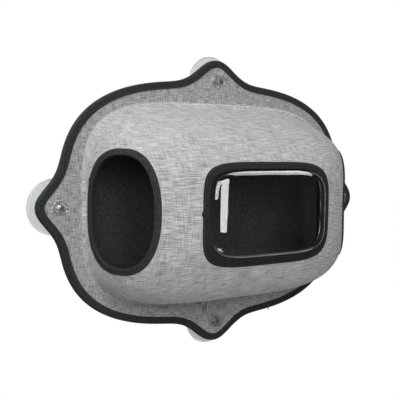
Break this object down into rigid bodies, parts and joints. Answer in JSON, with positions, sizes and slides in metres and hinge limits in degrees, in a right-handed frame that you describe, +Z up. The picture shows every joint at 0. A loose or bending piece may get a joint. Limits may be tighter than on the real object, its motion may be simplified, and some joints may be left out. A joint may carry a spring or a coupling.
{
  "type": "window mounted cat perch",
  "caption": "Domed, fabric-covered cat pod with side portholes and a clear bubble window, held to a pane by suction cups with screw knobs at the tips of its flange.",
  "frame": {"origin": "midway between the suction cups, on the plane of the glass", "axes": "+Z up, +Y into the glass, so the dome faces -Y; +X to the right for someone in the room"},
  "size_m": [0.702, 0.2032, 0.524],
  "materials": {
    "heather_fabric": "light heather grey slub weave",
    "foam": "closed-cell moulded foam",
    "dark_lining": "near-black tricot lining",
    "board": "stiff sheet, matte",
    "binding_tape": "charcoal ribbed binding tape",
    "clear_bubble": "clear blown sheet, glossy",
    "cup_vinyl": "clear soft vinyl",
    "stud_nylon": "milky clear plastic",
    "clear_washer": "clear plastic",
    "clear_knob": "clear plastic, glossy"
  },
  "bodies": {
    "pod": {"outer_cover": "heather_fabric", "foam_shell": "foam", "inner_lining": "dark_lining", "back_facing": "dark_lining", "back_board": "board", "back_cover": "dark_lining", "rim_binding": "binding_tape", "left_porthole_binding": "binding_tape", "right_porthole_binding": "binding_tape", "window_binding": "binding_tape", "bubble_window": "clear_bubble", "top_suction_cup": "cup_vinyl", "top_stud": "stud_nylon", "top_back_washer": "clear_washer", "bottom_suction_cup": "cup_vinyl", "bottom_stud": "stud_nylon", "bottom_back_washer": "clear_washer", "left_suction_cup": "cup_vinyl", "left_stud": "stud_nylon", "left_back_washer": "clear_washer", "right_suction_cup": "cup_vinyl", "right_stud": "stud_nylon", "right_back_washer": "clear_washer"},
    "top_washer": {"top_front_washer": "clear_washer"},
    "top_knob": {"top_knob": "clear_knob"},
    "bottom_washer": {"bottom_front_washer": "clear_washer"},
    "bottom_knob": {"bottom_knob": "clear_knob"},
    "left_washer": {"left_front_washer": "clear_washer"},
    "left_knob": {"left_knob": "clear_knob"},
    "right_washer": {"right_front_washer": "clear_washer"},
    "right_knob": {"right_knob": "clear_knob"}
  },
  "joints": [
    {"name": "top_washer_slide", "type": "slide", "parent": "pod", "child": "top_washer", "axis": [0, -1, 0], "range_m": [0, 0.0045]},
    {"name": "top_knob_turn", "type": "hinge", "parent": "top_washer", "child": "top_knob", "pos_m": [0, -0.03, 0.216], "axis": [0, -1, 0], "range_deg": [0, 1080]},
    {"name": "bottom_washer_slide", "type": "slide", "parent": "pod", "child": "bottom_washer", "axis": [0, -1, 0], "range_m": [0, 0.0045]},
    {"name": "bottom_knob_turn", "type": "hinge", "parent": "bottom_washer", "child": "bottom_knob", "pos_m": [0, -0.03, -0.216], "axis": [0, -1, 0], "range_deg": [0, 1080]},
    {"name": "left_washer_slide", "type": "slide", "parent": "pod", "child": "left_washer", "axis": [0, -1, 0], "range_m": [0, 0.0045]},
    {"name": "left_knob_turn", "type": "hinge", "parent": "left_washer", "child": "left_knob", "pos_m": [-0.305, -0.03, 0], "axis": [0, -1, 0], "range_deg": [0, 1080]},
    {"name": "right_washer_slide", "type": "slide", "parent": "pod", "child": "right_washer", "axis": [0, -1, 0], "range_m": [0, 0.0045]},
    {"name": "right_knob_turn", "type": "hinge", "parent": "right_washer", "child": "right_knob", "pos_m": [0.305, -0.03, 0], "axis": [0, -1, 0], "range_deg": [0, 1080]}
  ],
  "couplings": [
    {"joint": "top_washer_slide", "follows": "top_knob_turn", "m_per_rad": 0.0002387},
    {"joint": "bottom_washer_slide", "follows": "bottom_knob_turn", "m_per_rad": 0.0002387},
    {"joint": "left_washer_slide", "follows": "left_knob_turn", "m_per_rad": 0.0002387},
    {"joint": "right_washer_slide", "follows": "right_knob_turn", "m_per_rad": 0.0002387}
  ]
}
